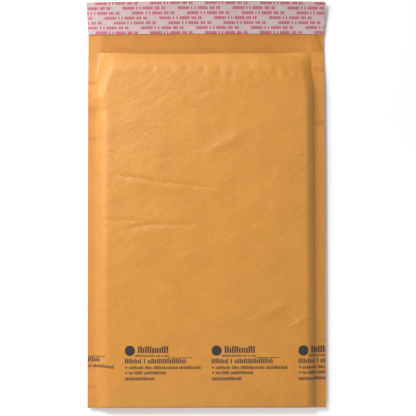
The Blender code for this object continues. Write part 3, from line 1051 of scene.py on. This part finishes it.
def film_face():
    """The lining's smooth pocket face, from the mouth round the fold to the mouth again, with
    how far its bubbles may stand out from it."""
    clear = PAPER + FILM_FIT
    rows = np.array([y for y in body_rows()[::2] if y < FILM_END_Y] + [FILM_END_Y])
    x, y = grid(rows, lambda y: pad_columns(y)[::2])
    left, right = pad_edges(rows)
    x = np.clip(x, (left + FILM_INSET)[:, None], (right - FILM_INSET)[:, None])
    y[0] = FOLD_Y + clear + FILM + FOLD_GAP
    high = smooth_front_z(x, y) - clear * slant(smooth_front_z, x, y)
    low = back_z(x, y) + clear * slant(back_z, x, y)
    from_edge = np.minimum(x - left[:, None], right[:, None] - x)
    standing = ease((from_edge - CRUSHED_FROM) / CRUSHED_REACH)
    room = np.minimum(FILM, (high - low - FOLD_GAP) / 2)
    front = np.stack((x, y, high - room), axis=-1)
    back = np.stack((x, y, low + room), axis=-1)
    fold = fold_rows(front[0], back[0], FOLD_Y + clear + FILM)
    heights = (room - FILM_SHEET - BUBBLE_SAG) * standing
    all_heights = [*heights[::-1], *[heights[0]] * len(fold), *heights]
    return np.array([*front[::-1], *fold, *back]), np.array(all_heights)


def bubble_tree():
    """Geometry nodes that lay bubbles in a close pattern over a sheet of film."""
    tree, start, end = new_group(
        "bubble_film_tree",
        {
            "Geometry": "Geometry", "Bubble Pitch": 0.01, "Bubble Diameter": 0.009,
            "Sheet Thickness": 0.0001, "Least Height": 0.0025, "Flat Width": 0.2,
            "Flat Length": 0.7, "Material": "Material",
        },
        {"Geometry": "Geometry"},
        tree_kind="GeometryNodeTree",
    )
    film, pitch = start["Geometry"], start["Bubble Pitch"]

    def made(kind, inputs=(), **settings):
        return add_node(tree, "GeometryNode" + kind, inputs, **settings)[0]

    def attribute(name, kind="FLOAT"):
        return made("InputNamedAttribute", {"Name": name}, data_type=kind)

    def count_and_length(room, step):
        count = calc("FLOOR", room / step) + 1.0
        return count, (count - 1.0) * step

    def sampled(value, kind):
        """The film's value where the flat pattern's point falls on its flat map."""
        return add_node(tree, "GeometryNodeSampleUVSurface", {
            0: film, "Value": value, "Source UV Map": attribute("flat", "FLOAT_VECTOR"),
            "Sample UV": made("InputPosition"),
        }, data_type=kind)

    def joined(*parts):
        join = tree.nodes.new("GeometryNodeJoinGeometry")
        for part in parts:
            plug_all({0: part}, join.inputs)
        return Output(join.outputs[0])

    # A flat close pattern of points
    row_pitch = pitch * (math.sqrt(3) / 2)
    across_count, across_length = count_and_length(start["Flat Width"], pitch)
    along_count, along_length = count_and_length(start["Flat Length"], row_pitch)
    grid = made("MeshGrid", {
        "Size X": across_length, "Size Y": along_length,
        "Vertices X": across_count, "Vertices Y": along_count,
    })
    flat = separated(made("InputPosition"))
    far_below = 500.0  # whole rows, so that every row's number is above 0
    odd = calc("FLOORED_MODULO", calc("ROUND", flat["Y"] / row_pitch + far_below), 2.0)
    moved = combined(flat["X"] + (odd - 0.5) * pitch * 0.5, flat["Y"])
    points = made("SetPosition", {"Geometry": grid, "Position": moved})

    # The same points on the film, where it reaches
    found = sampled(made("InputPosition"), "FLOAT_VECTOR")
    for name, value, kind in (
        ("outward", sampled(made("InputNormal"), "FLOAT_VECTOR")["Value"], "FLOAT_VECTOR"),
        ("height", sampled(attribute("room"), "FLOAT")["Value"], "FLOAT"),
        ("kept", found["Is Valid"], "BOOLEAN"),
        ("place", found["Value"], "FLOAT_VECTOR"),
    ):
        stored = {"Geometry": points, "Name": name, "Value": value}
        points = made("StoreNamedAttribute", stored, data_type=kind, domain="POINT")
    too_low = attribute("height") < start["Least Height"]
    kept = attribute("kept", "BOOLEAN")
    outside = add_node(tree, "FunctionNodeBooleanMath", {0: kept}, operation="NOT")[0]
    either = {0: too_low, 1: outside}
    dropped = add_node(tree, "FunctionNodeBooleanMath", either, operation="OR")[0]
    points = made("DeleteGeometry", {"Geometry": points, "Selection": dropped}, domain="POINT")
    place = attribute("place", "FLOAT_VECTOR")
    points = made("SetPosition", {"Geometry": points, "Position": place})

    # One bubble: a low round cushion that narrows towards its top
    radius = start["Bubble Diameter"] * 0.5
    barrel = made("MeshCone", {
        "Vertices": BUBBLE_SIDES, "Side Segments": 3, "Fill Segments": 1,
        "Radius Top": radius * BUBBLE_TOP, "Radius Bottom": radius, "Depth": 1.0,
    }, fill_type="TRIANGLE_FAN")
    at = separated(made("InputPosition"))
    share = remapped(at["Z"], 0.0, 1.0)
    widen = share * (1.0 - share) * BUBBLE_BULGE + 1.0
    rounded = combined(at["X"] * widen, at["Y"] * widen, at["Z"])
    placed = made("InstanceOnPoints", {
        "Points": points,
        "Instance": made("SetPosition", {"Geometry": barrel, "Position": rounded}),
        "Rotation": add_node(
            tree, "FunctionNodeAlignRotationToVector",
            {"Vector": attribute("outward", "FLOAT_VECTOR")}, axis="Z",
        )[0],
        "Scale": combined(1.0, 1.0, attribute("height")),
    })
    bubbles = made("RealizeInstances", {"Geometry": placed})

    # The film itself, closed into a thin sheet
    thickened = made("ExtrudeMesh", {
        "Mesh": film, "Offset Scale": start["Sheet Thickness"], "Individual": False,
    }, mode="FACES")
    sheet = joined(thickened, made("FlipFaces", {"Mesh": film}))
    welded = made("MergeByDistance", {"Geometry": sheet, "Distance": WELD})
    smooth = made("SetShadeSmooth", {"Geometry": joined(welded, bubbles)})
    whole = made("SetMaterial", {"Geometry": smooth, "Material": start["Material"]})
    plug_all({"Geometry": whole}, end)
    return tree


def applied(piece, tree, **inputs):
    """Runs a geometry tree on a piece and keeps the result as its plain mesh."""
    modifier = piece.modifiers.new("pattern", "NODES")
    modifier.node_group = tree
    for name, value in inputs.items():
        socket = tree.interface.items_tree[name.replace("_", " ")]
        modifier[socket.identifier] = value
    evaluated = piece.evaluated_get(bpy.context.evaluated_depsgraph_get())
    mesh = bpy.data.meshes.new_from_object(evaluated)
    piece.modifiers.remove(modifier)
    piece.data = mesh


def make_lining(material):
    """The folded bubble film. Its flat map gives each point its place on the unfolded web."""
    points, room = film_face()
    count_down, count_across = points.shape[:2]
    index = np.arange(count_down * count_across).reshape(count_down, count_across)
    quads = np.stack((index[:-1, :-1], index[1:, :-1], index[1:, 1:], index[:-1, 1:]), axis=-1)
    mesh = bpy.data.meshes.new("bubble_film")
    mesh.from_pydata(points.reshape(-1, 3).tolist(), [], quads.reshape(-1, 4).tolist())
    steps = np.linalg.norm(np.diff(points, axis=0), axis=-1).mean(axis=1)
    down = np.concatenate(([0], np.cumsum(steps)))
    down -= down[-1] / 2
    flat = np.stack((points[..., 0], np.repeat(down[:, None], count_across, axis=1)), axis=-1)
    corners = np.array([corner.vertex_index for corner in mesh.loops])
    flat_map = mesh.attributes.new("flat", "FLOAT2", "CORNER")
    flat_map.data.foreach_set("vector", flat.reshape(-1, 2)[corners].ravel())
    mesh.attributes.new("room", "FLOAT", "POINT").data.foreach_set("value", room.ravel())
    piece = add_object("bubble_film", mesh)
    applied(
        piece, bubble_tree(), Bubble_Pitch=BUBBLE_PITCH, Bubble_Diameter=BUBBLE_DIAMETER,
        Sheet_Thickness=FILM_SHEET, Least_Height=LEAST_BUBBLE, Flat_Width=WIDTH,
        Flat_Length=-2 * float(down[0]), Material=material,
    )
    stands_for(piece, "bubble_lining")


def light_studio():
    """Soft area lights, and a world that is white to look at but gives only a little light."""
    for name, (place, size, power) in LIGHTS.items():
        data = bpy.data.lights.new(name, "AREA")
        data.size = size
        data.energy = power
        light = add_object(name, data)
        light.location = place
        light.rotation_euler = (-Vector(place)).to_track_quat("-Z", "Y").to_euler()
    world = bpy.data.worlds.new("studio")
    bpy.context.scene.world = world
    world.use_nodes = True
    strength = remapped(seen_directly(world.node_tree), 0.0, 1.0, SKY_LIGHT, 1.0)
    sky = world.node_tree.nodes["Background"].inputs
    plug_all({"Strength": strength, "Color": WHITE}, sky)


def make_table():
    """A plain pale table that is white where nothing shades it."""
    mesh = bpy.data.meshes.new("table")
    half = TABLE_SIZE / 2
    square = ((-half, -half), (half, -half), (half, half), (-half, half))
    mesh.from_pydata([(x, y, -TABLE_UNDER) for x, y in square], [], [(0, 1, 2, 3)])
    table = add_object("table", mesh)
    material, tree, shader = new_material("pale_table")
    place, seen = object_place(tree), seen_directly(tree)
    parts = separated(place)
    (near, faint), (far, strong) = TABLE_GLOW_FROM, TABLE_GLOW_TO
    glow = remapped(parts["X"] - parts["Y"], near, far, faint, strong)
    plug_all({
        "Base Color": mixed(seen, mixed(noise_at(place, 300.0), *TABLE_TONES), WHITE),
        "Roughness": 0.9,
        "Emission Color": WHITE,
        "Emission Strength": seen * glow,
    }, shader)
    mesh.materials.append(material)


def aim_camera():
    data = bpy.data.cameras.new("camera")
    data.sensor_width = SENSOR
    data.lens = SENSOR * CAMERA_DISTANCE / (PIXELS * PIXEL)
    camera = add_object("camera", data)
    turn = Euler((CAMERA_PITCH, 0, CAMERA_ROLL))
    camera.rotation_euler = turn
    camera.location = CAMERA_TARGET + turn.to_matrix() @ Vector((0, 0, CAMERA_DISTANCE))
    bpy.context.scene.camera = camera


def main():
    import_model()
    bpy.context.scene.view_settings.view_transform = "Standard"
    aim_camera()
    light_studio()
    make_table()

    groups = {
        "grain": paper_grain_group(),
        "seals": crimped_seals_group(),
        "line": greeked_line_group(),
        "fold": paper_fold_group(),
    }
    printed = kraft_material("kraft_printed", groups, OUTER_KRAFT, printed=True, crimped=True)
    plain = kraft_material("kraft_plain", groups, OUTER_KRAFT, crimped=True)
    inside = kraft_material("kraft_inside", groups, INNER_KRAFT)
    make_envelope([printed, plain, inside])
    make_lining(film_material(groups))
    make_adhesive(adhesive_material(groups))
    make_liner(liner_material(groups))


main()
